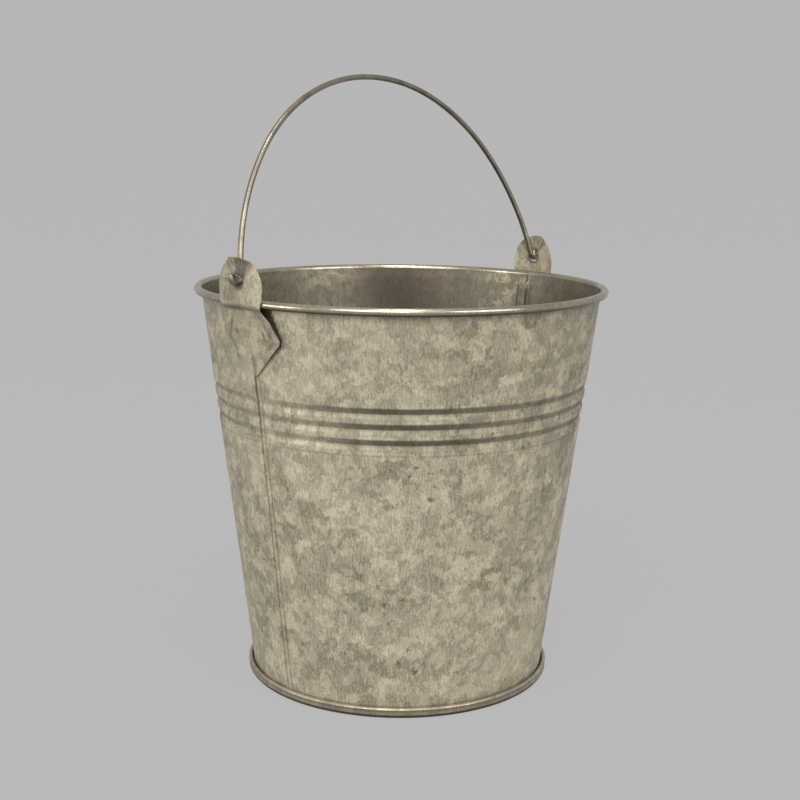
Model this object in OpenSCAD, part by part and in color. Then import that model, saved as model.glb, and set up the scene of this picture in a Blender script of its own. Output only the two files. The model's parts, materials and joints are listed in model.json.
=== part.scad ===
// Small galvanised florist bucket with a wire bail handle.
// Millimetres, +Z up, origin at the centre of the underside, ears along X, front towards -Y.

/* [Bucket] */
// Outer diameter over the rolled rim
rim_d = 160; // [150:1:175]
// Height from the table to the top of the rolled rim
bucket_h = 154.2; // [150:0.2:170]
// Outer diameter of the wall where it meets the base
foot_d = 116.6; // [112:0.2:118]
// Thickness of the galvanised sheet
sheet_t = 0.4; // [0.35:0.01:0.42]
// Outer diameter of the rolled rim's section
curl_d = 3; // [2.8:0.1:3.2]

/* [Grooves] */
// Number of rolled ring grooves
groove_count = 3; // [1:1:4]
// Height of the lowest groove's centre line
groove_z = 105.4; // [60:0.2:106]
// Distance from one groove to the next
groove_pitch = 5.7; // [5:0.1:6]
// Depth of a groove
groove_depth = 0.9; // [0.3:0.1:1.1]

/* [Base] */
// Height of the recessed base disc's top face
base_z = 4; // [3.8:0.1:4]
// Outer diameter over the double seam round the base
chime_d = 120.8; // [120.6:0.2:122]

/* [Seams] */
// Width of a lock seam down the side
seam_w = 4; // [3:0.5:6]

/* [Ears] */
// Thickness of the ear plate
ear_t = 0.5; // [0.4:0.05:0.6]
// Width of the ear above the rim
ear_w = 22.4; // [20:0.2:24]
// Height of the ear's top edge above the rim
ear_rise = 14.8; // [14:0.2:16]
// Diameter of the hole for the bail
hole_d = 5.4; // [5:0.1:6]
// Height of the hole above the rim
hole_rise = 6.6; // [6.4:0.1:7.2]
// Width of the pointed tab on the wall
tab_w = 31; // [26:0.5:34]
// Length of the pointed tab below the rim
tab_drop = 28.2; // [26:0.2:30]

/* [Bail] */
// Diameter of the bail wire
wire_d = 2.1; // [1.8:0.1:2.2]
// Height of the bail above its pivots
bail_h = 75.2; // [72.5:0.1:77]
// How far the bail's pivots hang below the middle of the holes
bail_hang = 1; // [0:0.1:1.1]
// Angle the bail leans back from upright
bail_lean = 13.7; // [0:0.1:20]

/* [Hidden] */

$fn = 96;
arc_step = 15;

zinc = "#a39b87";
zinc_dark = "#8d8572";
zinc_light = "#b0a893";

rim_r = rim_d / 2;
foot_r = foot_d / 2;
chime_r = chime_d / 2;
half_t = sheet_t / 2;

// Clearance between sheets that lie on one another
lap_gap = 0.04;
layer = sheet_t + lap_gap;

// Centre line of the rolled rim
curl_r = curl_d / 2 - half_t;
curl_x = rim_r - curl_d / 2;
curl_z = bucket_h - curl_d / 2;
curl_end = -130;
// The taper ends this far inside the roll and below its centre
curl_lead_r = 0.55;
curl_lead_z = 2.6;

// Straight taper of the wall, measured on the middle of the sheet
taper_z0 = base_z + 0.4;
taper_z1 = curl_z - curl_lead_z;
taper_r0 = foot_r - half_t;
taper_r1 = curl_x - curl_r - curl_lead_r;
taper = (taper_r1 - taper_r0) / (taper_z1 - taper_z0);

// Lock seams run between the base seam and the rolled rim
seam_z0 = base_z + 0.8;
seam_z1 = taper_z1;
fold_gap = 0.1;

// Layers of the double seam round the base, from the inside out
base_in_r = foot_r - sheet_t - half_t - 0.05;
base_hook_r = foot_r + 0.35;
wall_hook_r = foot_r + 0.95;
base_out_r = chime_r - half_t;
chime_top = base_z - 0.05;
wall_hook_top = chime_top - 1;
base_hook_end = 1.5;
disc_bend_r = 1;
flange_bend_r = 0.6;
foot_bend_r = 1.2;
foot_gap = 0.03;

// Ears
ear_in_r = rim_r + 0.05;
ear_mid_r = ear_in_r + ear_t / 2;
ear_bend_r = 1.2;
ear_step_z = bucket_h - curl_d + 0.6;
ear_wall_gap = 0.06;
ear_top = bucket_h + ear_rise;
tab_tip_z = bucket_h - tab_drop;
tab_wide_z = bucket_h - 0.52 * tab_drop;
side_z = bucket_h - 0.6;
side_w = ear_w - 0.8;
neck_z = bucket_h - 3.8;
neck_w = ear_w - 2.8;
hole_z = bucket_h + hole_rise;
pivot_z = hole_z - bail_hang;
channel_angle = 40;
channel_tilt = 25;
channel_z = hole_z - 1.8;
channel_l = 20;
channel_reach = 9;
// The channel's tip lies this far outside the ear's outer face
channel_stand = 0.1;
// How far the cutting shapes reach to either side of the ear plate
cut_reach = 12;

// Bail, drawn in its own upright plane with the pivots at height 0
wire_r = wire_d / 2;
leg_x = ear_in_r - wire_r - 0.34;
crown_r = 0.9713 * leg_x;
shoulder_r = 1.1442 * leg_x;
crown_angle = 50;
elbow_r = 2;
hook_r = 1.6;
hook_tail = 0.9;
hook_stub = 1.1;
crown_h = bail_h - crown_r;
shoulder_x = -(shoulder_r - crown_r) * sin(crown_angle);
shoulder_h = crown_h - (shoulder_r - crown_r) * cos(crown_angle);
leg_angle = acos((elbow_r - shoulder_h) / (shoulder_r + elbow_r));
elbow_x = shoulder_x + (shoulder_r + elbow_r) * sin(leg_angle);
hook_x = ear_in_r + ear_t + hook_stub;
// Lengths of wire stop this far short of a knuckle's centre
wire_trim = 0.02;

// Points along an arc, from angle a0 to angle a1
function arc(x, y, r, a0, a1) =
    let (n = max(2, ceil(abs(a1 - a0) / arc_step)))
    [for (i = [0:n]) [x + r * cos(a0 + (a1 - a0) * i / n), y + r * sin(a0 + (a1 - a0) * i / n)]];

// Unit direction from point a to point b
function toward(a, b) = (b - a) / norm(b - a);

// Corner offset of the path at point i, so that the sheet keeps its thickness round a bend
function side(path, i) =
    let (n = len(path))
    let (d0 = toward(path[max(i - 1, 0)], path[max(i, 1)]))
    let (d1 = toward(path[min(i, n - 2)], path[min(i + 1, n - 1)]))
    let (m = toward([0, 0], d0 + d1))
    [-m[1], m[0]] / (m * d0);

// Closed outline of a sheet of thickness t whose middle follows the path
function ribbon(path, t) =
    let (n = len(path))
    concat(
        [for (i = [0:n - 1]) path[i] + side(path, i) * t / 2],
        [for (i = [n - 1:-1:0]) path[i] - side(path, i) * t / 2]
    );

// Radius of the middle of the wall sheet, with the rolled grooves
groove_n = 8;
groove_z0 = groove_z - groove_pitch / 2;
groove_z1 = groove_z0 + groove_count * groove_pitch;
function straight_r(z) = taper_r0 + taper * (z - taper_z0);
function wall_r(z) =
    (z < groove_z0 || z > groove_z1) ? straight_r(z)
    : straight_r(z) - groove_depth * (1 - cos(360 * (z - groove_z0) / groove_pitch)) / 2;

// Middle of the wall sheet from height z0 to height z1, moved inwards by inset
function wall_path(z0, z1, inset) =
    let (n = groove_n * groove_count)
    concat(
        [[wall_r(z0) - inset, z0]],
        [for (i = [0:n])
            let (z = groove_z0 + (groove_z1 - groove_z0) * i / n)
            [wall_r(z) - inset, z]],
        [[wall_r(z1) - inset, z1]]
    );

// Bottom hook, taper, grooves and rolled rim of one wall
wall_outline = ribbon(
    concat(
        [[wall_hook_r, wall_hook_top]],
        arc((wall_hook_r + taper_r0) / 2, sheet_t + foot_gap + half_t + (wall_hook_r - taper_r0) / 2,
            (wall_hook_r - taper_r0) / 2, 0, -180),
        wall_path(taper_z0, taper_z1, 0),
        arc(curl_x, curl_z, curl_r, 180, curl_end)
    ),
    sheet_t
);

// Recessed disc, inner flange and outer fold of the base
base_outline = ribbon(
    concat(
        [[0, base_z - half_t]],
        arc(base_in_r - disc_bend_r, base_z - half_t - disc_bend_r, disc_bend_r, 90, 0),
        arc(base_in_r + flange_bend_r, half_t + flange_bend_r, flange_bend_r, 180, 270),
        arc(base_out_r - foot_bend_r, half_t + foot_bend_r, foot_bend_r, -90, 0),
        arc((base_out_r + base_hook_r) / 2, chime_top - half_t - (base_out_r - base_hook_r) / 2,
            (base_out_r - base_hook_r) / 2, 0, 180),
        [[base_hook_r, base_hook_end]]
    ),
    sheet_t
);

// A width along the wall as an angle
function span(w) = w / rim_r * 180 / PI;

// One layer of a lock seam, from distance u0 to distance u1 past the seam line
module seam_layer(inset, t, u0, u1) {
    rotate([0, 0, 180 + span(u0)])
        rotate_extrude(angle = span(u1 - u0))
            polygon(ribbon(wall_path(seam_z0, seam_z1, inset), t));
}

// Half of the wall: the outer hook of one lock seam and the inner hook of the other
module half_wall() {
    union() {
        rotate([0, 0, 180])
            rotate_extrude(angle = 180 - span(fold_gap))
                polygon(wall_outline);
        // outer hook: folded in behind the wall's own edge
        seam_layer(layer, 2 * layer, 0, sheet_t);
        seam_layer(2 * layer, sheet_t, 0, seam_w - sheet_t - fold_gap);
        // inner hook: stepped in behind the other half's edge
        rotate([0, 0, 180]) {
            seam_layer(1.5 * layer, 3 * layer, -fold_gap - sheet_t, -fold_gap);
            seam_layer(3 * layer, sheet_t, -fold_gap - sheet_t, seam_w);
            seam_layer(2 * layer, 2 * layer, seam_w - sheet_t, seam_w);
            seam_layer(layer, sheet_t, sheet_t + fold_gap, seam_w);
        }
    }
}

module front_wall() {
    color(zinc) half_wall();
}

module back_wall() {
    color(zinc) rotate([0, 0, 180]) half_wall();
}

module base() {
    color(zinc_dark) rotate_extrude() polygon(base_outline);
}

// Section of the ear: flat above the rim, stepped in under it, then down the wall
ear_outline = ribbon(
    concat(
        [[ear_mid_r, ear_top + 1]],
        arc(ear_mid_r - ear_bend_r, ear_step_z, ear_bend_r, 0, -60),
        [for (z = [neck_z - 0.6, tab_tip_z - 1])
            [straight_r(z) + half_t + ear_wall_gap + ear_t / 2, z]]
    ),
    ear_t
);

// Front shape of the ear: rounded top, slight waist under the rim and pointed tab
lobe_r = ear_w / 2;
lobe_step = 7.5;
ear_half = [
    [side_w / 2, side_z],
    [neck_w / 2, neck_z],
    [tab_w / 2, tab_wide_z],
    [0, tab_tip_z]
];
ear_shape = concat(
    [for (a = [180:-lobe_step:0]) [lobe_r * cos(a), ear_top - lobe_r + lobe_r * sin(a)]],
    ear_half,
    [for (i = [2:-1:0]) [-ear_half[i][0], ear_half[i][1]]]
);

// Cone that the channel for the bail's leg follows, set back by the sheet's thickness
module channel_cone(set_back) {
    translate([-ear_in_r - ear_t - channel_stand, 0, channel_z])
        rotate([0, channel_tilt, 0])
            translate([0, 0, set_back / sin(channel_angle)])
                cylinder(h = channel_l, r1 = 0, r2 = channel_l * tan(channel_angle));
}

// Ear on the -X side
module ear() {
    difference() {
        intersection() {
            union() {
                rotate([0, 0, 180 - span(tab_w)])
                    rotate_extrude(angle = 2 * span(tab_w))
                        polygon(ear_outline);
                intersection() {
                    channel_cone(0);
                    translate([-ear_mid_r - channel_reach, -ear_w, channel_z - ear_t])
                        cube([channel_reach, 2 * ear_w, ear_rise]);
                }
            }
            translate([-ear_mid_r - cut_reach, 0, 0])
                rotate([90, 0, 90])
                    linear_extrude(height = 2 * cut_reach)
                        polygon(ear_shape);
        }
        channel_cone(ear_t);
        translate([-ear_mid_r - cut_reach, 0, hole_z])
            rotate([0, 90, 0])
                cylinder(h = 2 * cut_reach, d = hole_d);
    }
}

module left_ear() {
    color(zinc_light) ear();
}

module right_ear() {
    color(zinc_light) rotate([0, 0, 180]) ear();
}

// Bent length of wire in the bail's plane, angles measured from upright
module wire_bend(x, h, r, a0, a1) {
    trim = wire_trim / r * 180 / PI;
    translate([x, 0, h])
        rotate([90, 0, 0])
            rotate([0, 0, 90 - a1 + trim])
                rotate_extrude(angle = a1 - a0 - 2 * trim)
                    translate([r, 0])
                        circle(r = wire_r);
}

// Joins two lengths of wire that meet end to end
module wire_knuckle(x, h) {
    translate([x, 0, h]) sphere(r = wire_r + wire_trim);
}

// One side of the bail on +X: shoulder and leg, pivot through the ear and turned-up end
module bail_side() {
    wire_knuckle(crown_r * sin(crown_angle), crown_h + crown_r * cos(crown_angle));
    wire_bend(shoulder_x, shoulder_h, shoulder_r, crown_angle, leg_angle);
    wire_knuckle(shoulder_x + shoulder_r * sin(leg_angle), shoulder_h + shoulder_r * cos(leg_angle));
    wire_bend(elbow_x, elbow_r, elbow_r, 180, 180 + leg_angle);
    wire_knuckle(elbow_x, 0);
    translate([elbow_x + wire_trim, 0, 0])
        rotate([0, 90, 0])
            cylinder(h = hook_x - elbow_x - 2 * wire_trim, r = wire_r);
    wire_knuckle(hook_x, 0);
    wire_bend(hook_x, hook_r, hook_r, 90, 180);
    wire_knuckle(hook_x + hook_r, hook_r);
    translate([hook_x + hook_r, 0, hook_r + wire_trim])
        cylinder(h = hook_tail, r = wire_r);
    wire_knuckle(hook_x + hook_r, hook_r + hook_tail);
}

module handle() {
    color(zinc_light)
        translate([0, 0, pivot_z])
            rotate([-bail_lean, 0, 0])
                union() {
                    wire_bend(0, crown_h, crown_r, -crown_angle, crown_angle);
                    bail_side();
                    mirror([1, 0, 0]) bail_side();
                }
}

front_wall();
back_wall();
base();
left_ear();
right_ear();
handle();
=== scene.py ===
import json
import math

import bpy
from mathutils import Matrix, Vector, noise


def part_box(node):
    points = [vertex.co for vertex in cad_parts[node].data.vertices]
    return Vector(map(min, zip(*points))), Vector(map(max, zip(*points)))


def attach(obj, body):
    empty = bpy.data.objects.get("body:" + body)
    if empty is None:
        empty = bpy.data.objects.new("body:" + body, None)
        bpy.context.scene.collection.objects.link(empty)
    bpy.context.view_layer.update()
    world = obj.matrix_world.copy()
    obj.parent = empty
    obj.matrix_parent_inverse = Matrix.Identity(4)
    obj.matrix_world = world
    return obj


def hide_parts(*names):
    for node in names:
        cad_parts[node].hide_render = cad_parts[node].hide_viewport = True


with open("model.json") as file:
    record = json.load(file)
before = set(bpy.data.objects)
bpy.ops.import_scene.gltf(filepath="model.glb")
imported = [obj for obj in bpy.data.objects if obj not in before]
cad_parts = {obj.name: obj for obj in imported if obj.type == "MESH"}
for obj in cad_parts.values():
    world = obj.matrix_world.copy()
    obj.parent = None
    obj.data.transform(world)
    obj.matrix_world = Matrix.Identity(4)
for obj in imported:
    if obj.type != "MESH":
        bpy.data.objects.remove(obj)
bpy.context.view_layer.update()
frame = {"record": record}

MM = 0.001

# ---------------------------------------------------------------- sizes, from the frame
wall_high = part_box("front_wall")[1]
base_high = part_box("base")[1]
ear_low, ear_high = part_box("left_ear")
bail_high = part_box("handle")[1]
hinge = frame["record"]["behaviour"]["joints"][0]

RIM_R = wall_high.x
HEIGHT = wall_high.z
CHIME_R = base_high.x
BASE_Z = base_high.z
PIVOT_Z = hinge["pos_m"][2]
EAR_TOP = ear_high.z
TAB_TIP = ear_low.z
TAB_HALF = ear_high.y

SHEET = 0.4 * MM
EAR_SHEET = 0.5 * MM
CURL = 3.0 * MM
WIRE_R = 1.05 * MM
HOLE_R = 2.4 * MM
HOLE_Z = PIVOT_Z + 0.8 * MM
BAIL_H = 75.2 * MM
LAYER = SHEET + 0.04 * MM

# Rolled rim and straight taper, measured on the middle of the sheet
CURL_R = CURL / 2 - SHEET / 2
CURL_X = RIM_R - CURL / 2 - 0.04 * MM
CURL_Z = HEIGHT - CURL / 2
TAPER_Z0 = BASE_Z + 0.4 * MM
TAPER_Z1 = CURL_Z - 2.6 * MM
TAPER_R0 = CHIME_R - 2.3 * MM
TAPER_R1 = CURL_X - CURL_R - 0.55 * MM

GROOVES = 3
GROOVE_Z = 105.4 * MM
GROOVE_PITCH = 5.7 * MM
GROOVE_DEPTH = 0.62 * MM
SCRIBED_Z = 101.4 * MM
# Where a groove is deepest and where its upper flank ends, as parts of the pitch
GROOVE_DEEPEST = 0.45
GROOVE_LIP = 0.87
GROOVE_LOW = GROOVE_Z - GROOVE_PITCH / 2
GROOVE_HIGH = GROOVE_LOW + GROOVES * GROOVE_PITCH


# ---------------------------------------------------------------- small helpers
def smooth(low, high, x):
    """0 below low, 1 above high, an even curve between."""
    t = min(max((x - low) / (high - low), 0.0), 1.0)
    return t * t * (3 - 2 * t)


def spread(a, b, n):
    """n + 1 even values from a to b."""
    return [a + (b - a) * i / n for i in range(n + 1)]


def arc(x, y, r, a0, a1, n):
    """Points on an arc, angles in degrees."""
    angles = [math.radians(a) for a in spread(a0, a1, n)]
    return [(x + r * math.cos(a), y + r * math.sin(a)) for a in angles]


def wander(point, size, seed):
    """Smooth noise from -1 to 1 with bumps about size metres across."""
    return noise.noise(point / size + Vector((seed, seed * 1.7, seed * 0.3)))


def new_piece(name, verts, faces, dirt_and_shade, body, nodes):
    """A smooth-shaded mesh that rides on a CAD body and stands for the CAD nodes."""
    mesh = bpy.data.meshes.new(name)
    mesh.from_pydata(verts, [], faces)
    mesh.shade_smooth()
    for layer_name, values in dirt_and_shade.items():
        layer = mesh.attributes.new(layer_name, "FLOAT", "POINT")
        layer.data.foreach_set("value", values)
    piece = bpy.data.objects.new(name, mesh)
    bpy.context.scene.collection.objects.link(piece)
    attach(piece, body)
    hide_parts(*nodes)
    return piece


def thicken(piece, thickness, edge):
    """Sheet of even thickness round the mesh's surface, with its edges slightly rounded."""
    solid = piece.modifiers.new("sheet", "SOLIDIFY")
    solid.thickness = thickness
    solid.offset = 0
    solid.use_even_offset = True
    bevel = piece.modifiers.new("rounded_edge", "BEVEL")
    bevel.width = edge
    bevel.segments = 2
    bevel.limit_method = "ANGLE"
    bevel.angle_limit = math.radians(50)


def taper_r(z):
    return TAPER_R0 + (TAPER_R1 - TAPER_R0) * (z - TAPER_Z0) / (TAPER_Z1 - TAPER_Z0)


# ---------------------------------------------------------------- walls
ROLL_STEPS = 32
# The painted dark reflection inside, a brown patch: its direction from the centre and half its angle
REFLECTION_TURN = math.radians(44)
REFLECTION_REACH = 0.30
# Faint second line beside each lock seam
SECOND_LINE = 2.2 * MM
DENT_DEPTH = 0.16 * MM
DENT_SIZE = 26 * MM
SEAM_LEAN = math.radians(0.9)
# Marks a place away from both seams
FAR_FROM_SEAM = 9 * MM
NECK_Z = HEIGHT - 3.8 * MM
NECK_HALF = 9.8 * MM
LOBE_R = 11.2 * MM
WIDE_Z = HEIGHT - 0.52 * (HEIGHT - TAB_TIP)


def groove(z):
    """How far the rolled grooves press the sheet in at height z, from 0 to 1."""
    if not GROOVE_LOW < z < GROOVE_HIGH:
        return 0.0
    along = (z - GROOVE_LOW) / GROOVE_PITCH % 1.0
    return smooth(0.02, GROOVE_DEEPEST, along) - smooth(GROOVE_DEEPEST, GROOVE_LIP, along)


def groove_shade(z):
    """Painted shade in each groove, darkest on the flank that faces down, from 0 to 1."""
    if not GROOVE_LOW < z < GROOVE_HIGH:
        return 0.0
    along = (z - GROOVE_LOW) / GROOVE_PITCH % 1.0
    # painted shade on the flank that faces up, dimming its highlight
    dull = 0.42 * smooth(0.0, 0.12, along) * (1 - smooth(0.36, 0.48, along))
    return max(smooth(0.40, 0.50, along) * (1 - smooth(0.80, 0.90, along)), dull)


def wall_stations():
    """Middle of the wall sheet from the bottom hook to the end of the rim, as (radius, height)."""
    hook_x = TAPER_R0 + 1.15 * MM
    turn = (hook_x - TAPER_R0) / 2
    stations = [(hook_x, BASE_Z - 1.05 * MM)]
    stations += arc(TAPER_R0 + turn, SHEET * 1.5 + turn, turn, 0, -180, 8)
    heights = spread(TAPER_Z0, SCRIBED_Z - 1 * MM, 48)
    heights += [SCRIBED_Z + step * MM for step in (-0.5, -0.25, 0, 0.25, 0.5)]
    heights += spread(GROOVE_LOW, GROOVE_HIGH, 20 * GROOVES)[:-1]
    heights += spread(GROOVE_HIGH, TAPER_Z1, 16)
    stations += [(taper_r(z), z) for z in heights]
    stations += arc(CURL_X, CURL_Z, CURL_R, 180, -130, ROLL_STEPS)
    return stations


def seam_weight(z):
    """1 where the lock seam is folded, 0 near the base seam and the rolled rim."""
    return smooth(4.6 * MM, 5.6 * MM, z) * (1 - smooth(149.0 * MM, 150.2 * MM, z))


def outer_fold(u):
    """Inward turn of the sheet's own edge at distance u from the seam line."""
    if u >= LAYER:
        return 0.0
    return LAYER - math.sqrt(LAYER**2 - (LAYER - u) ** 2)


def inner_step(u):
    """Inward step of the edge that passes behind the seam, at distance u past the seam line."""
    ridge = 0.16 * MM * smooth(-2.6 * MM, -1.3 * MM, u) * (1 - smooth(-1.2 * MM, -0.6 * MM, u))
    return 1.24 * MM * smooth(-1.0 * MM, -0.1 * MM, u) - ridge


# The folded layers past each edge, as (distance from the seam line, inset)
OUTER_HOOK = [(3.4, 0.88), (2.2, 0.88), (1.2, 0.88), (0.44, 0.88), (0.2, 0.81), (0.06, 0.66)]
INNER_HOOK = [(0.15, 1.28), (0.5, 1.32), (1.5, 1.32), (2.6, 1.32), (3.6, 1.32), (3.91, 1.19),
              (4.04, 0.88), (3.91, 0.57), (3.6, 0.44), (2.6, 0.44), (1.5, 0.44), (0.75, 0.44)]
EDGE_OUT = [0, 0.06, 0.2, 0.44, 0.8, 1.2, 1.6, 1.9, 2.2, 2.5, 2.8, 3.3, 4.0, 4.7, 5.4]
EDGE_IN = [-5.5, -4.0, -2.8, -2.2, -1.7, -1.4, -1.15, -1.0, -0.85, -0.7, -0.55, -0.4, -0.25, -0.1]


def wall_columns():
    """Columns round half the wall as (half turns, distance past that, fixed inset or None)."""
    columns = [(0.0, u * MM, inset * MM) for u, inset in OUTER_HOOK]
    columns += [(0.0, u * MM, None) for u in EDGE_OUT]
    ends = spread(0.034, 0.10, 20)
    columns += [(f, 0.0, None) for f in ends + spread(0.10, 0.90, 100)[1:-1]]
    columns += [(1 - f, 0.0, None) for f in reversed(ends)]
    columns += [(1.0, u * MM, None) for u in EDGE_IN]
    columns += [(1.0, u * MM, inset * MM) for u, inset in INNER_HOOK]
    return columns


def tab_half(z):
    """Half width of the ear's tab over the wall at height z."""
    if z > WIDE_Z:
        return TAB_HALF + (NECK_HALF - TAB_HALF) * (z - WIDE_Z) / (NECK_Z - WIDE_Z)
    return TAB_HALF * (z - TAB_TIP) / (WIDE_Z - TAB_TIP)


def wall_dirt_and_shade(z, half_turns, u, inset, from_seam):
    """Outside: dirt in the seams, with painted shade under the rolled rim, above the base seam, in the
    grooves, beside the ear's tab and on the upper wall.
    """
    if inset is not None:
        return 1.0
    past = abs(u) if half_turns in (0, 1) else FAR_FROM_SEAM
    wide = (0.55 + 0.75 * smooth(95 * MM, 122 * MM, z)) * MM
    furrow = 1 - smooth(0.10 * MM, wide, past)
    second = 0.0
    if half_turns == 0:
        second = 0.5 * (1 - smooth(0.1 * MM, 0.5 * MM, abs(u - SECOND_LINE)))
    # painted shade on the wall just under the rolled rim
    under_rim = 0.8 * smooth(149.9 * MM, 150.7 * MM, z) * (1 - smooth(151.0 * MM, 151.6 * MM, z))
    # painted shade: a dark line in the gap above the base seam
    foot = 1 - smooth(4.05 * MM, 4.45 * MM, z)
    # the painted groove shade is weaker near the seams and far from them
    band_fade = 1 - 0.40 * smooth(66 * MM, 100 * MM, from_seam)
    bands = 0.78 * groove_shade(z) * (0.30 + 0.70 * smooth(18 * MM, 50 * MM, from_seam)) * band_fade
    scribed = 0.25 * (1 - smooth(0.1 * MM, 0.5 * MM, abs(z - SCRIBED_Z)))
    # painted shade: the upper wall darker towards the top
    upper_shade = 0.10 * smooth(112 * MM, 136 * MM, z)
    # the deep shade beside the lifted edge of the ear's tab
    shade = 0.0
    if half_turns < 0.2 and WIDE_Z - 6 * MM < z < NECK_Z + 1 * MM:
        reach = tab_half(z) + (0.1 + 1.5 * smooth(WIDE_Z, NECK_Z - 1 * MM, z)) * MM
        shade = 1 - smooth(reach - 0.3 * MM, reach + 0.5 * MM, from_seam)
    in_seam = max(furrow, second) * seam_weight(z)
    return max(in_seam, under_rim, foot, bands, scribed, shade, upper_shade)


def inside_stain_and_reflection(place, half_turns, u, inset):
    """Stain inside along the seams, darker in the bottom corner, and a painted dark reflection, tinted
    brown, as a broad patch on the far wall.
    """
    if inset is not None:
        return 0.25
    past = abs(u) if half_turns in (0, 1) else FAR_FROM_SEAM
    seam = 0.6 * (1 - smooth(0.1 * MM, 1.2 * MM, past))
    foot = 0.7 * (1 - smooth(4 * MM, 9 * MM, place.z))
    turn = math.atan2(place.y, place.x) - REFLECTION_TURN
    # painted dark reflection on the far wall, tinted brown
    dark_reflection = 0.8 * math.exp(-((turn / REFLECTION_REACH) ** 2)) * smooth(60 * MM, 120 * MM, place.z)
    return max(seam, foot, dark_reflection)


def wall_point(radius, z, half_turns, u, inset, seed):
    """Where one point of the half wall lies before the half is turned into place, and its dirt and
    painted shade.
    """
    past_first = u if half_turns == 0 else half_turns * math.pi * radius
    before_last = -u if half_turns == 1 else (1 - half_turns) * math.pi * radius
    from_seam = abs(min(past_first, before_last))
    fixed = inset
    if inset is None:
        fold = outer_fold(u) if half_turns == 0 else inner_step(u) if half_turns == 1 else 0.0
        inset = fold * seam_weight(z)
    fade = 0.35 + 0.65 * smooth(2 * MM, 14 * MM, from_seam)
    depth = GROOVE_DEPTH * groove(z) * fade
    if half_turns == 0:
        line = 1 - smooth(0.2 * MM, 0.6 * MM, abs(u - SECOND_LINE))
        depth += 0.10 * MM * line * seam_weight(z)
    angle = math.pi + half_turns * math.pi + u / radius
    flat = Vector((math.cos(angle), math.sin(angle), 0))
    free = smooth(4 * MM, 12 * MM, z) * (1 - smooth(HEIGHT - 12 * MM, HEIGHT - 4 * MM, z))
    dent = DENT_DEPTH * wander(flat * radius + Vector((0, 0, z)), DENT_SIZE, seed) * free
    place = flat * (radius - inset - depth + dent) + Vector((0, 0, z))
    return place, wall_dirt_and_shade(z, half_turns, u, fixed, from_seam)


def lean_seam(place):
    """The seam under the left ear isn't quite upright: its top is drawn towards the front."""
    angle = math.atan2(-place.y, -place.x)
    near = math.exp(-(angle / 0.5) ** 2)
    drift = SEAM_LEAN * (place.z / HEIGHT - 0.25)
    return Matrix.Rotation(drift * near, 3, "Z") @ place


def half_wall(name, node, turn, seed):
    """One half of the wall: a single sheet with a lock-seam hook down each edge."""
    stations = wall_stations()
    columns = wall_columns()
    verts, index, faces, grime_and_shade, inside = [], {}, [], [], []
    rotate = Matrix.Rotation(turn, 3, "Z")
    roll_start = len(stations) - ROLL_STEPS - 1
    for j, (radius, z) in enumerate(stations):
        for i, (half_turns, u, inset) in enumerate(columns):
            folded = inset is not None
            if folded and (seam_weight(z) < 0.999 or j >= roll_start):
                continue
            index[i, j] = len(verts)
            place, dirt_and_shade = wall_point(radius, z, half_turns, u, inset, seed)
            verts.append(lean_seam(rotate @ place))
            # painted shade on the underside of the rolled rim
            underside_shade = 0.9 * smooth(ROLL_STEPS * 0.58, ROLL_STEPS * 0.72, j - roll_start)
            grime_and_shade.append(dirt_and_shade if j < roll_start else underside_shade)
            inside.append(inside_stain_and_reflection(verts[-1], half_turns, u, inset))
    slots = []
    for j in range(len(stations) - 1):
        for i in range(len(columns) - 1):
            corners = [(i, j), (i + 1, j), (i + 1, j + 1), (i, j + 1)]
            if all(c in index for c in corners):
                faces.append([index[c] for c in corners])
                slots.append(2 if j >= roll_start else 0)
    dirt_and_shade = {"grime_and_shade": grime_and_shade, "stain_and_reflection": inside}
    piece = new_piece(name, verts, faces, dirt_and_shade, "bucket", [node])
    piece.data.polygons.foreach_set("material_index", slots)
    thicken(piece, SHEET, 0.08 * MM)
    piece.modifiers["sheet"].material_offset = 1
    return piece


# ---------------------------------------------------------------- base
BASE_STEPS = 240


def base_path():
    """Middle of the base sheet from the centre of the disc to the end of the outer fold."""
    in_r = TAPER_R0 - LAYER - 0.01 * MM
    hook_r = TAPER_R0 + 0.55 * MM
    out_r = CHIME_R - SHEET / 2
    top = BASE_Z - 0.05 * MM
    fold = (out_r - hook_r) / 2
    disc_z = BASE_Z - SHEET / 2
    path = [(r, disc_z) for r in spread(0.5 * MM, in_r - 1 * MM, 40)[:-1]]
    path += arc(in_r - 1 * MM, disc_z - 1 * MM, 1 * MM, 90, 0, 6)
    path += arc(in_r + 0.6 * MM, SHEET / 2 + 0.6 * MM, 0.6 * MM, 180, 270, 6)
    waist = 0.2 * MM
    path += arc(out_r - waist - 0.9 * MM, SHEET / 2 + 0.9 * MM, 0.9 * MM, -90, 0, 8)
    dip = ((0.95, 1.5), (1.0, 2.0), (0.95, 2.5), (0.6, 2.75), (0.2, 2.9))
    path += [(out_r - waist * w, z * MM) for w, z in dip]
    path += arc(out_r - fold, top - SHEET / 2 - fold, fold, 0, 180, 12)
    path += [(hook_r, 1.5 * MM)]
    return path


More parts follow.
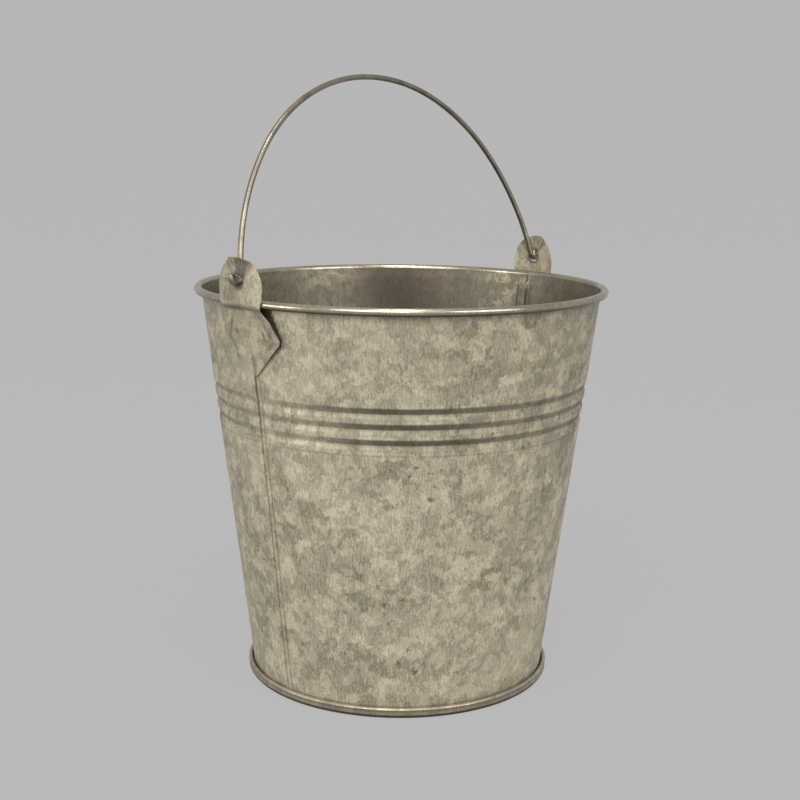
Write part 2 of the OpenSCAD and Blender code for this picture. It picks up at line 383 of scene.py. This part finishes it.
def base_shade(r, z):
    """Painted shade in the gap of the fold, under the fold's lip, on its face and where the base stands
    on the table; darker in the corner inside.
    """
    corner = smooth(TAPER_R0 - 5 * MM, TAPER_R0 - 1 * MM, r) * smooth(3.0 * MM, 3.4 * MM, z)
    corner *= 1 - smooth(TAPER_R0 + 0.2 * MM, TAPER_R0 + 1.2 * MM, r)
    # painted shade in the gap between the fold and the wall
    gap = smooth(TAPER_R0, TAPER_R0 + 0.3 * MM, r) * smooth(2.5 * MM, 3.2 * MM, z)
    gap *= 1 - smooth(TAPER_R0 + 0.95 * MM, TAPER_R0 + 1.35 * MM, r)
    # painted shade where the base stands on the table
    foot = (1 - smooth(1.15 * MM, 1.6 * MM, z)) * smooth(TAPER_R0 - 2 * MM, TAPER_R0, r)
    outside = smooth(CHIME_R - 1.0 * MM, CHIME_R - 0.5 * MM, r)
    # painted shade under the fold's lip and on its face
    lip = 0.5 * outside * smooth(2.7 * MM, 2.95 * MM, z) * (1 - smooth(3.15 * MM, 3.4 * MM, z))
    face = 0.30 * outside * smooth(0.9 * MM, 1.2 * MM, z) * (1 - smooth(3.0 * MM, 3.3 * MM, z))
    return max(0.7 * corner, 0.9 * gap, foot, lip, face)


def base_pan():
    """Recessed disc whose edge is folded round the walls' hooks."""
    around = BASE_STEPS
    verts, faces, grime_and_shade = [], [], []
    path = base_path()
    for r, z in path:
        for k in range(around):
            angle = 2 * math.pi * k / around
            flat = Vector((math.cos(angle), math.sin(angle), 0))
            at = flat * r + Vector((0, 0, z))
            in_disc = 1 - smooth(TAPER_R0 - 9 * MM, TAPER_R0 - 3 * MM, r)
            bow = 0.18 * MM * (wander(at, 30 * MM, 5.0) - 0.6) * in_disc
            uneven = -0.05 * MM * (1 + wander(at, 14 * MM, 9.0)) * (1 - in_disc)
            uneven *= smooth(1 * MM, 2.5 * MM, z)
            verts.append(at + Vector((0, 0, bow)) + flat * uneven)
            grime_and_shade.append(base_shade(r, z))
    for j in range(len(path) - 1):
        for k in range(around):
            n = (k + 1) % around
            faces.append([j * around + k, j * around + n, (j + 1) * around + n, (j + 1) * around + k])
    faces.append(list(range(around - 1, -1, -1)))
    piece = new_piece("base_pan", verts, faces, {"grime_and_shade": grime_and_shade}, "bucket", ["base"])
    thicken(piece, SHEET, 0.06 * MM)
    return piece


# ---------------------------------------------------------------- ears
EAR_R = RIM_R + 0.3 * MM
CHANNEL_Z = HOLE_Z - 1.8 * MM
# Half width of the pressed channel and its depth, for each metre above its tip
CHANNEL_SPREAD = 0.63
CHANNEL_SLOPE = 0.265
WELD_OUT = 7.4 * MM
WELD_UP = 2.4 * MM
WELD_DEPTH = 0.22 * MM
# How far the edge behind the seam stands off the wall
BACK_EDGE_LIFT = 0.25 * MM
EAR_RINGS = 60
OUTLINE_STEP = 0.7 * MM


def rounded(corners, radius, n):
    """Closed outline with each corner (x, y, scale of its rounding) replaced by a short curve."""
    out = []
    for i, (x, y, scale) in enumerate(corners):
        here = Vector((x, y))
        before = Vector(corners[i - 1][:2])
        after = Vector(corners[(i + 1) % len(corners)][:2])
        reach = min(radius * scale, (before - here).length * 0.45, (after - here).length * 0.45)
        start = here + (before - here).normalized() * reach
        end = here + (after - here).normalized() * reach
        for t in spread(0, 1, n):
            out.append(start.lerp(here, t).lerp(here.lerp(end, t), t))
    return out


def ear_outline():
    """Rounded top, slight waist under the rim and pointed tab, as (across, height)."""
    half = [(LOBE_R - 0.4 * MM, HEIGHT - 0.6 * MM, 1), (NECK_HALF, NECK_Z, 0.8),
            (TAB_HALF, WIDE_Z, 0.6), (0, TAB_TIP, 0.5)]
    lobe_z = EAR_TOP - LOBE_R
    lobe = [(LOBE_R * math.cos(a), lobe_z + LOBE_R * math.sin(a), 0.6)
            for a in [math.radians(d) for d in range(180, -1, -9)]]
    corners = lobe + half + [(-x, z, s) for x, z, s in reversed(half[:-1])]
    return rounded(corners, 2.2 * MM, 4)


def resample(outline, step):
    """Extra points so that no side of the outline is longer than step."""
    out = []
    for i, p in enumerate(outline):
        q = outline[(i + 1) % len(outline)]
        n = max(1, math.ceil((q - p).length / step))
        out += [p.lerp(q, k / n) for k in range(n)]
    return out


def ear_point(across, z, wide, sway, lift):
    """Where a point of the flat ear blank lies once it is pressed and bent, on the -X side."""
    below = 1 - smooth(NECK_Z - 8 * MM, NECK_Z + 2 * MM, z)
    across *= wide + (1 - wide) * below
    across += sway * max(NECK_Z - z, 0)
    on_wall = taper_r(z) + SHEET / 2 + EAR_SHEET / 2 + 0.06 * MM
    # the tab is a little flatter than the wall, so that its edges stand off
    half = max(tab_half(z), 3 * MM) if z < NECK_Z else NECK_HALF
    edge = smooth(0.3, 1.0, abs(across) / half)
    raised = lift if across > 0 else BACK_EDGE_LIFT
    lag = 4.5 * raised * edge
    above = smooth(NECK_Z - 0.4 * MM - lag, NECK_Z + 1.9 * MM, z)
    radius = on_wall * (1 - above) + EAR_R * above
    radius += raised * edge * (0.35 + 0.65 * smooth(TAB_TIP, WIDE_Z, z)) * (1 - above)
    rise = max(z - CHANNEL_Z, 0)
    if rise > 0:
        reach = abs(across) / (CHANNEL_SPREAD * rise + 0.3 * MM)
        radius += CHANNEL_SLOPE * rise * max(1 - reach**1.3, 0) ** 0.8
    radius -= WELD_DEPTH * ear_dimple(across, z)
    angle = across / radius
    return Vector((-radius * math.cos(angle), -radius * math.sin(angle), z))


def ear_dimple(across, z):
    """Two pressed spots where the tab is welded to the wall."""
    gaps = [math.hypot(across - side * WELD_OUT, z - (WIDE_Z + WELD_UP)) for side in (-1, 1)]
    return 1 - smooth(0.3 * MM, 1.7 * MM, min(gaps))


def ear_shade_and_marks(across, z):
    """Painted shade along the crease under the rim, round the hole and on the channel's flank, with
    painted shadow lines beside the channel; marks in the welds and old solder on the tab.
    """
    # painted shade along the crease under the rim
    crease = 0.6 * math.exp(-((z - NECK_Z - 0.4 * MM) / (0.8 * MM)) ** 2)
    from_hole = math.hypot(across, z - HOLE_Z)
    # painted shade round the hole
    hole = 0.65 * (1 - smooth(HOLE_R, HOLE_R + 1.6 * MM, from_hole))
    flank = 0.0
    if z > CHANNEL_Z:
        reach = across / (CHANNEL_SPREAD * (z - CHANNEL_Z) + 0.5 * MM)
        # painted shade on the channel's flank, then two painted shadow lines beside the channel
        flank = 0.55 * smooth(0.05, 0.2, reach) * (1 - smooth(1.0, 1.9, reach))
        flank = max(flank, 0.65 * math.exp(-(((reach + 1.0) / 0.14) ** 2)))
        flank = max(flank, 0.50 * math.exp(-(((reach + 0.4) / 0.10) ** 2)))
    return max(crease, hole, 0.6 * ear_dimple(across, z), flank, tab_marks(across, z))


def tab_marks(across, z):
    """Old solder along the tab's lower middle and just inside its edges."""
    if z > NECK_Z:
        return 0.0
    tip = math.hypot(across / 0.35, z - TAB_TIP - 4.5 * MM)
    tail = 0.5 * (1 - smooth(2.5 * MM, 5.5 * MM, tip))
    inset = tab_half(z) - abs(across)
    band = math.exp(-(((inset - 3.2 * MM) / (0.8 * MM)) ** 2))
    band *= smooth(TAB_TIP + 8 * MM, TAB_TIP + 12 * MM, z) * (1 - smooth(NECK_Z - 6 * MM, NECK_Z, z))
    return max(tail, 0.45 * band)


def ear_plate(name, node, turn, wide, sway, lift):
    """Sheet ear, meshed in rings from its hole out to its outline."""
    outline = resample(ear_outline(), OUTLINE_STEP)
    rotate = Matrix.Rotation(turn, 3, "Z")
    centre = Vector((0, HOLE_Z))
    verts, faces, grime_and_shade = [], [], []
    n = len(outline)
    for k in range(EAR_RINGS + 1):
        for p in outline:
            inner = centre + (p - centre).normalized() * HOLE_R
            at = inner.lerp(p, (k / EAR_RINGS) ** 1.1)
            stretch = 1 + (wide - 1) * k / EAR_RINGS
            verts.append(rotate @ ear_point(at.x, at.y, stretch, sway, lift))
            grime_and_shade.append(ear_shade_and_marks(at.x, at.y))
    for k in range(EAR_RINGS):
        for i in range(n):
            m = (i + 1) % n
            faces.append([k * n + i, k * n + m, (k + 1) * n + m, (k + 1) * n + i])
    piece = new_piece(name, verts, faces, {"grime_and_shade": grime_and_shade}, "bucket", [node])
    thicken(piece, EAR_SHEET, 0.09 * MM)
    return piece


# ---------------------------------------------------------------- bail
ELBOW_R = 2 * MM
HOOK_R = 1.6 * MM
CROWN_ANGLE = 50
WIRE_SIDES = 28


def bail_path():
    """Middle of the bent wire in the bail's own plane, from the crown to the end on +X."""
    leg_x = RIM_R + 0.05 * MM - WIRE_R - 0.34 * MM
    crown_r = 0.9713 * leg_x
    shoulder_r = 1.1442 * leg_x
    crown_h = BAIL_H - crown_r
    shift = shoulder_r - crown_r
    shoulder_x = -shift * math.sin(math.radians(CROWN_ANGLE))
    shoulder_h = crown_h - shift * math.cos(math.radians(CROWN_ANGLE))
    leg_angle = math.degrees(math.acos((ELBOW_R - shoulder_h) / (shoulder_r + ELBOW_R)))
    elbow_x = shoulder_x + (shoulder_r + ELBOW_R) * math.sin(math.radians(leg_angle))
    hook_x = RIM_R + 1.65 * MM
    path = arc(0, crown_h, crown_r, 90, 90 - CROWN_ANGLE, 40)[:-1]
    path += arc(shoulder_x, shoulder_h, shoulder_r, 90 - CROWN_ANGLE, 90 - leg_angle, 30)[:-1]
    path += arc(elbow_x, ELBOW_R, ELBOW_R, 270 - leg_angle, 270, 12)
    path += arc(hook_x, HOOK_R, HOOK_R, -90, 0, 12)
    path += [(hook_x + HOOK_R, HOOK_R + t) for t in spread(0.3 * MM, 0.9 * MM, 2)]
    return path


def bail_wire():
    """Round wire swept along the whole bail, with domed cut ends."""
    right = bail_path()
    path = [(-x, h) for x, h in reversed(right[1:])] + right
    lean = math.atan2(bail_high.y - WIRE_R, bail_high.z - PIVOT_Z - WIRE_R)
    tilt = Matrix.Rotation(-lean, 3, "X")
    sides = WIRE_SIDES
    cap = [0.0, 0.38, 0.71, 0.92, 1.0]
    points = [Vector((x, 0, h)) for x, h in path]
    # hand-bent wire: slight inward waves along the crown
    for k, p in enumerate(points):
        wave = 0.10 * MM * (wander(p, 19 * MM, 3.0) - 0.8) * smooth(8 * MM, 30 * MM, p.z)
        points[k] = p + p.normalized() * wave
    rings = []
    for k, p in enumerate(points):
        along = (points[min(k + 1, len(points) - 1)] - points[max(k - 1, 0)]).normalized()
        rings.append((p, along, 1.0))
    first, last = rings[0], rings[-1]
    dome = [(last[0] + last[1] * WIRE_R * s, last[1], math.sqrt(1 - s * s)) for s in cap[1:-1]]
    start = [(first[0] - first[1] * WIRE_R * s, first[1], math.sqrt(1 - s * s)) for s in cap[1:-1]]
    rings = list(reversed(start)) + rings + dome
    verts, faces = [], []
    for p, along, size in rings:
        across = Vector((0, 1, 0))
        out = along.cross(across).normalized()
        for k in range(sides):
            a = 2 * math.pi * k / sides
            offset = (across * math.cos(a) + out * math.sin(a)) * WIRE_R * size
            verts.append(tilt @ (p + offset) + Vector((0, 0, PIVOT_Z)))
    for j in range(len(rings) - 1):
        for k in range(sides):
            n = (k + 1) % sides
            faces.append([j * sides + k, (j + 1) * sides + k, (j + 1) * sides + n, j * sides + n])
    faces.append(list(range(sides)))
    faces.append(list(range(len(verts) - 1, len(verts) - 1 - sides, -1)))
    # darker towards the ends by the pivot, where the wire passes through the ears
    grime_and_shade = [0.3 * (1 - smooth(PIVOT_Z + 0.5 * MM, PIVOT_Z + 5 * MM, v.z)) for v in verts]
    return new_piece("bail_wire", verts, faces, {"grime_and_shade": grime_and_shade}, "bail", ["handle"])


# ---------------------------------------------------------------- materials
class Nodes:
    """Short way to add and join shader nodes."""

    def __init__(self, name):
        self.material = bpy.data.materials.new(name)
        self.material.use_nodes = True
        self.tree = self.material.node_tree
        self.shader = self.tree.nodes["Principled BSDF"]

    def add(self, kind, **settings):
        node = self.tree.nodes.new(kind)
        for key, value in settings.items():
            setattr(node, key, value)
        return node

    def join(self, source, target):
        self.tree.links.new(source, target)

    def math(self, operation, a, b):
        node = self.add("ShaderNodeMath", operation=operation)
        for socket, value in zip(node.inputs, (a, b)):
            if isinstance(value, (int, float)):
                socket.default_value = value
            else:
                self.join(value, socket)
        return node.outputs[0]

    def scaled(self, vector, scale):
        node = self.add("ShaderNodeMapping")
        node.inputs["Scale"].default_value = scale
        self.join(vector, node.inputs["Vector"])
        return node.outputs["Vector"]

    def noise(self, vector, scale, detail, rough=0.5):
        node = self.add("ShaderNodeTexNoise")
        node.inputs["Scale"].default_value = scale
        node.inputs["Detail"].default_value = detail
        node.inputs["Roughness"].default_value = rough
        self.join(vector, node.inputs["Vector"])
        return node

    def split(self, colour):
        node = self.add("ShaderNodeSeparateColor")
        self.join(colour, node.inputs[0])
        return node

    def centred(self, value, amount):
        """value less its middle 0.5, times amount."""
        return self.math("MULTIPLY", self.math("SUBTRACT", value, 0.5), amount)

    def voronoi(self, vector, scale, distance):
        node = self.add("ShaderNodeTexVoronoi", distance=distance)
        node.inputs["Scale"].default_value = scale
        self.join(vector, node.inputs["Vector"])
        return node

    def ramp(self, value, stops):
        node = self.add("ShaderNodeValToRGB")
        for k, (place, colour) in enumerate(stops):
            if k < 2:
                stop = node.color_ramp.elements[k]
                stop.position = place
            else:
                stop = node.color_ramp.elements.new(place)
            stop.color = (*colour, 1) if isinstance(colour, tuple) else (colour, colour, colour, 1)
        self.join(value, node.inputs["Fac"])
        return node.outputs["Color"]

    def mix(self, kind, factor, a, b):
        node = self.add("ShaderNodeMix", data_type="RGBA", blend_type=kind)
        for socket, value in ((node.inputs[0], factor), (node.inputs[6], a), (node.inputs[7], b)):
            if isinstance(value, (int, float)):
                socket.default_value = value
            elif isinstance(value, tuple):
                socket.default_value = (*value, 1)
            else:
                self.join(value, socket)
        return node.outputs[2]


# Sizes of the zinc's markings, as noise and cell scales per metre
SPANGLE_SCALE = 125
FLAKE_SCALE = 300
RAGGED_SCALE = 300
PATCH_SCALE = 48
DRIFT_SCALE = 11
PIT_ZONE_SCALE = 37
STREAK_SCALE = (1500, 1500, 300)
FINE_SCALE = (2600, 2600, 1000)
PIT_SCALE = (230, 230, 170)


def galvanised(name, tone, contrast, metallic, rough, streak, dirt_and_shade_name, dirt_and_shade_tone):
    """Weathered hot-dip zinc: angular spangles, fine drawn streaks, dull patches, small pits, and dirt
    and painted shade from a mesh attribute.
    """
    n = Nodes(name)
    place = n.add("ShaderNodeTexCoord").outputs["Object"]
    ragged = n.noise(place, RAGGED_SCALE, 4, 0.72)
    bent = n.mix("LINEAR_LIGHT", 0.0034, place, ragged.outputs["Color"])
    cells = n.voronoi(bent, SPANGLE_SCALE, "CHEBYCHEV")
    flakes = n.voronoi(bent, FLAKE_SCALE, "CHEBYCHEV")
    patches = n.noise(place, PATCH_SCALE, 4, 0.65)
    drift = n.noise(place, DRIFT_SCALE, 2, 0.5)

    # each spangle turns the streaks inside it a little
    lean = n.mix("LINEAR_LIGHT", 0.010, place, cells.outputs["Color"])
    streaks = n.noise(n.scaled(lean, STREAK_SCALE), 1, 4, 0.65)
    fine = n.noise(n.scaled(place, FINE_SCALE), 1, 3, 0.7)

    cell_tone = n.split(cells.outputs["Color"])
    flake_tone = n.split(flakes.outputs["Color"])
    light_cell = n.ramp(cell_tone.outputs[0], [(0.60, 0.0), (0.66, 1.0)])
    dark_cell = n.ramp(cell_tone.outputs[1], [(0.70, 0.0), (0.80, 1.0)])
    light_flake = n.ramp(flake_tone.outputs[0], [(0.60, 0.0), (0.63, 1.0)])

    total = n.centred(patches.outputs["Fac"], 0.40)
    for value, amount in ((light_cell, 0.15), (dark_cell, -0.10), (light_flake, 0.21)):
        total = n.math("ADD", total, n.math("MULTIPLY", value, amount))
    total = n.math("MULTIPLY", total, contrast)
    total = n.math("ADD", total, n.centred(drift.outputs["Fac"], 0.28))
    total = n.math("ADD", total, n.centred(streaks.outputs["Fac"], 1.2 * streak))
    total = n.math("ADD", total, n.centred(fine.outputs["Fac"], 1.1 * streak))
    total = n.math("ADD", total, 0.395)
    dark = tuple(c * 0.52 for c in tone)
    light = tuple(min(c * 1.62, 1) for c in tone)
    colour = n.ramp(total, [(0.10, dark), (0.90, light), (0.46, tone)])

    pit_cells = n.voronoi(n.scaled(bent, PIT_SCALE), 1, "EUCLIDEAN")
    pit_zone = n.noise(place, PIT_ZONE_SCALE, 2, 0.5)
    near_pit = n.ramp(pit_cells.outputs["Distance"], [(0.10, 1.0), (0.24, 0.0)])
    pitted = n.ramp(pit_zone.outputs["Fac"], [(0.57, 0.0), (0.66, 0.8)])
    pit = n.math("MULTIPLY", near_pit, pitted)
    colour = n.mix("MIX", pit, colour, tuple(c * 0.22 for c in tone))

    # dirt and painted shade lie in the folds and break up at their edges
    dirt_and_shade = n.add("ShaderNodeAttribute", attribute_name=dirt_and_shade_name).outputs["Fac"]
    ragged_dirt_and_shade = n.math("MULTIPLY", dirt_and_shade, n.math("ADD", n.centred(fine.outputs["Fac"], 1.4), 1.0))
    dirt_and_shade_amount = n.add("ShaderNodeClamp")
    n.join(ragged_dirt_and_shade, dirt_and_shade_amount.inputs[0])
    colour = n.mix("MIX", dirt_and_shade_amount.outputs[0], colour, dirt_and_shade_tone)
    n.join(colour, n.shader.inputs["Base Color"])

    n.shader.inputs["Metallic"].default_value = metallic
    dull = n.math("MULTIPLY_ADD", patches.outputs["Fac"], 0.22)
    dull.node.inputs[2].default_value = rough - 0.11
    shine = n.math("MULTIPLY_ADD", light_flake, -0.08)
    n.join(dull, shine.node.inputs[2])
    n.join(shine, n.shader.inputs["Roughness"])

    height = n.math("MULTIPLY", streaks.outputs["Fac"], 0.7)
    height = n.math("ADD", height, n.math("MULTIPLY", fine.outputs["Fac"], 0.45))
    height = n.math("ADD", height, n.math("MULTIPLY", light_flake, 0.10))
    height = n.math("SUBTRACT", height, n.math("MULTIPLY", pit, 1.1))
    bump = n.add("ShaderNodeBump")
    bump.inputs["Strength"].default_value = 0.4
    bump.inputs["Distance"].default_value = 0.14 * MM * streak
    n.join(height, bump.inputs["Height"])
    n.join(bump.outputs["Normal"], n.shader.inputs["Normal"])
    return n.material


def drawn_wire(name, tone):
    """Galvanised drawn wire: satin zinc with faint dull patches, darker towards the ends by the pivot."""
    n = Nodes(name)
    place = n.add("ShaderNodeTexCoord").outputs["Object"]
    patches = n.noise(place, 130, 4, 0.65)
    grain = n.noise(place, 2600, 3, 0.6)
    colour = n.ramp(patches.outputs["Fac"], [(0.32, tuple(c * 0.55 for c in tone)), (0.66, tone)])
    dirt_and_shade = n.add("ShaderNodeAttribute", attribute_name="grime_and_shade").outputs["Fac"]
    colour = n.mix("MIX", dirt_and_shade, colour, tuple(c * 0.3 for c in tone))
    n.join(colour, n.shader.inputs["Base Color"])
    n.shader.inputs["Metallic"].default_value = 0.9
    rough = n.math("MULTIPLY_ADD", patches.outputs["Fac"], -0.15)
    rough.node.inputs[2].default_value = 0.40
    n.join(rough, n.shader.inputs["Roughness"])
    bump = n.add("ShaderNodeBump")
    bump.inputs["Strength"].default_value = 0.25
    bump.inputs["Distance"].default_value = 0.08 * MM
    n.join(grain.outputs["Fac"], bump.inputs["Height"])
    n.join(bump.outputs["Normal"], n.shader.inputs["Normal"])
    return n.material


# ---------------------------------------------------------------- stage
def studio():
    """Pale floor that curves up into a round backdrop, its paper glowing evenly."""
    around = 96
    profile = [(r, 0.0) for r in (0.02, 0.2, 0.6, 1.1)] + arc(1.4, 0.9, 0.9, -90, 0, 12) + [(2.3, 2.2)]
    verts, faces = [(0, 0, 0)], []
    for r, z in profile:
        verts += [(r * math.cos(2 * math.pi * k / around), r * math.sin(2 * math.pi * k / around), z)
                  for k in range(around)]
    for k in range(around):
        faces.append([0, 1 + k, 1 + (k + 1) % around])
    for j in range(len(profile) - 1):
        for k in range(around):
            n = (k + 1) % around
            a, b = 1 + j * around, 1 + (j + 1) * around
            faces.append([a + k, b + k, b + n, a + n])
    mesh = bpy.data.meshes.new("floor")
    mesh.from_pydata(verts, [], faces)
    mesh.shade_smooth()
    floor = bpy.data.objects.new("floor", mesh)
    floor.location.z = -0.05 * MM
    bpy.context.scene.collection.objects.link(floor)
    paper = Nodes("backdrop_paper")
    paper.shader.inputs["Base Color"].default_value = (0.03, 0.03, 0.03, 1)
    paper.shader.inputs["Emission Color"].default_value = (1, 1, 1, 1)
    paper.shader.inputs["Emission Strength"].default_value = 0.445
    paper.shader.inputs["Roughness"].default_value = 0.9
    paper.shader.inputs["Specular IOR Level"].default_value = 0.1
    floor.data.materials.append(paper.material)


def lamp(name, size, power, place, target):
    """Square area lamp at place, aimed at target."""
    data = bpy.data.lights.new(name, "AREA")
    data.shape = "SQUARE"
    data.size = size
    data.energy = power
    lamp_object = bpy.data.objects.new(name, data)
    bpy.context.scene.collection.objects.link(lamp_object)
    lamp_object.location = place
    lamp_object.rotation_euler = (Vector(target) - Vector(place)).to_track_quat("-Z", "Y").to_euler()


def light():
    world = bpy.data.worlds.new("studio")
    world.use_nodes = True
    world.node_tree.nodes["Background"].inputs["Color"].default_value = (1, 1, 1, 1)
    world.node_tree.nodes["Background"].inputs["Strength"].default_value = 0.5
    bpy.context.scene.world = world
    middle = (0, 0, HEIGHT / 2)
    lamp("key", 1.35, 29.0, (-1.38, -0.84, 1.36), middle)
    lamp("fill", 1.1, 13.5, (0.07, -1.70, 1.00), middle)
    lamp("left", 0.5, 3.5, (-1.10, 0.50, 0.40), middle)
    lamp("top_strip", 0.16, 2.6, (-0.16, -0.16, 1.1), middle)
    bpy.context.scene.view_settings.view_transform = "Standard"


CAMERA_TURN = math.radians(-135.1)
CAMERA_AWAY = 533.7 * MM
CAMERA_HIGH = 211.5 * MM
CAMERA_DOWN = math.radians(10.99)
CAMERA_ROLL = math.radians(0.65)
CAMERA_LENS = 61.8


def camera():
    """A view from a little above the rim, with the left ear turned towards the camera."""
    outward = Vector((math.cos(CAMERA_TURN), math.sin(CAMERA_TURN), 0))
    forward = -outward * math.cos(CAMERA_DOWN) - Vector((0, 0, math.sin(CAMERA_DOWN)))
    level = forward.cross(Vector((0, 0, 1))).normalized()
    up = level.cross(forward)
    right = level * math.cos(CAMERA_ROLL) + up * math.sin(CAMERA_ROLL)
    up = up * math.cos(CAMERA_ROLL) - level * math.sin(CAMERA_ROLL)
    data = bpy.data.cameras.new("photo_view")
    data.lens = CAMERA_LENS
    data.sensor_width = 36
    data.clip_start = 0.01
    camera_object = bpy.data.objects.new("photo_view", data)
    bpy.context.scene.collection.objects.link(camera_object)
    turn = Matrix((right, up, -forward)).transposed().to_4x4()
    place = outward * CAMERA_AWAY + Vector((0, 0, CAMERA_HIGH))
    camera_object.matrix_world = Matrix.Translation(place) @ turn
    bpy.context.scene.camera = camera_object


# ---------------------------------------------------------------- build
ZINC = (0.40, 0.350, 0.258)
# painted shade: a darker copy of the zinc tone for the inside of the walls
SHADED_ZINC_INSIDE = (0.205, 0.179, 0.130)
ZINC_EAR = (0.36, 0.312, 0.228)
# colour of the dirt and of the painted shade
GRIME_AND_SHADE = (0.052, 0.043, 0.028)
# tone of the stain along the seams inside and of the painted dark reflection
STAIN_AND_REFLECTION = (0.060, 0.043, 0.031)

wall_zinc = galvanised("wall_zinc", ZINC, 1.0, 0.42, 0.62, 1.0, "grime_and_shade", GRIME_AND_SHADE)
# painted shade: the inside of the walls uses the darker copy of the zinc, with the painted dark
# reflection
shaded_inside_zinc = galvanised("shaded_inside_zinc", SHADED_ZINC_INSIDE, 0.6, 0.75, 0.45, 0.8, "stain_and_reflection", STAIN_AND_REFLECTION)
rim_zinc = galvanised("rim_zinc", ZINC, 0.5, 0.85, 0.27, 0.5, "grime_and_shade", GRIME_AND_SHADE)
base_zinc = galvanised("base_zinc", ZINC, 0.7, 0.70, 0.42, 0.7, "grime_and_shade", GRIME_AND_SHADE)
ear_zinc = galvanised("ear_zinc", ZINC_EAR, 1.1, 0.55, 0.50, 0.9, "grime_and_shade", GRIME_AND_SHADE)
wire_zinc = drawn_wire("wire_zinc", (0.33, 0.285, 0.215))

camera()
studio()
light()

front = half_wall("front_wall_sheet", "front_wall", 0.0, 1.0)
back = half_wall("back_wall_sheet", "back_wall", math.pi, 2.0)
pan = base_pan()
left = ear_plate("left_ear_plate", "left_ear", 0.0, 1.05, 0.09, 1.0 * MM)
right = ear_plate("right_ear_plate", "right_ear", math.pi, 0.91, 0.0, 0.4 * MM)
bail = bail_wire()

for piece, materials in ((front, (wall_zinc, shaded_inside_zinc, rim_zinc, rim_zinc)),
                         (back, (wall_zinc, shaded_inside_zinc, rim_zinc, rim_zinc)),
                         (pan, (base_zinc,)), (left, (ear_zinc,)), (right, (ear_zinc,)),
                         (bail, (wire_zinc,))):
    for material in materials:
        piece.data.materials.append(material)
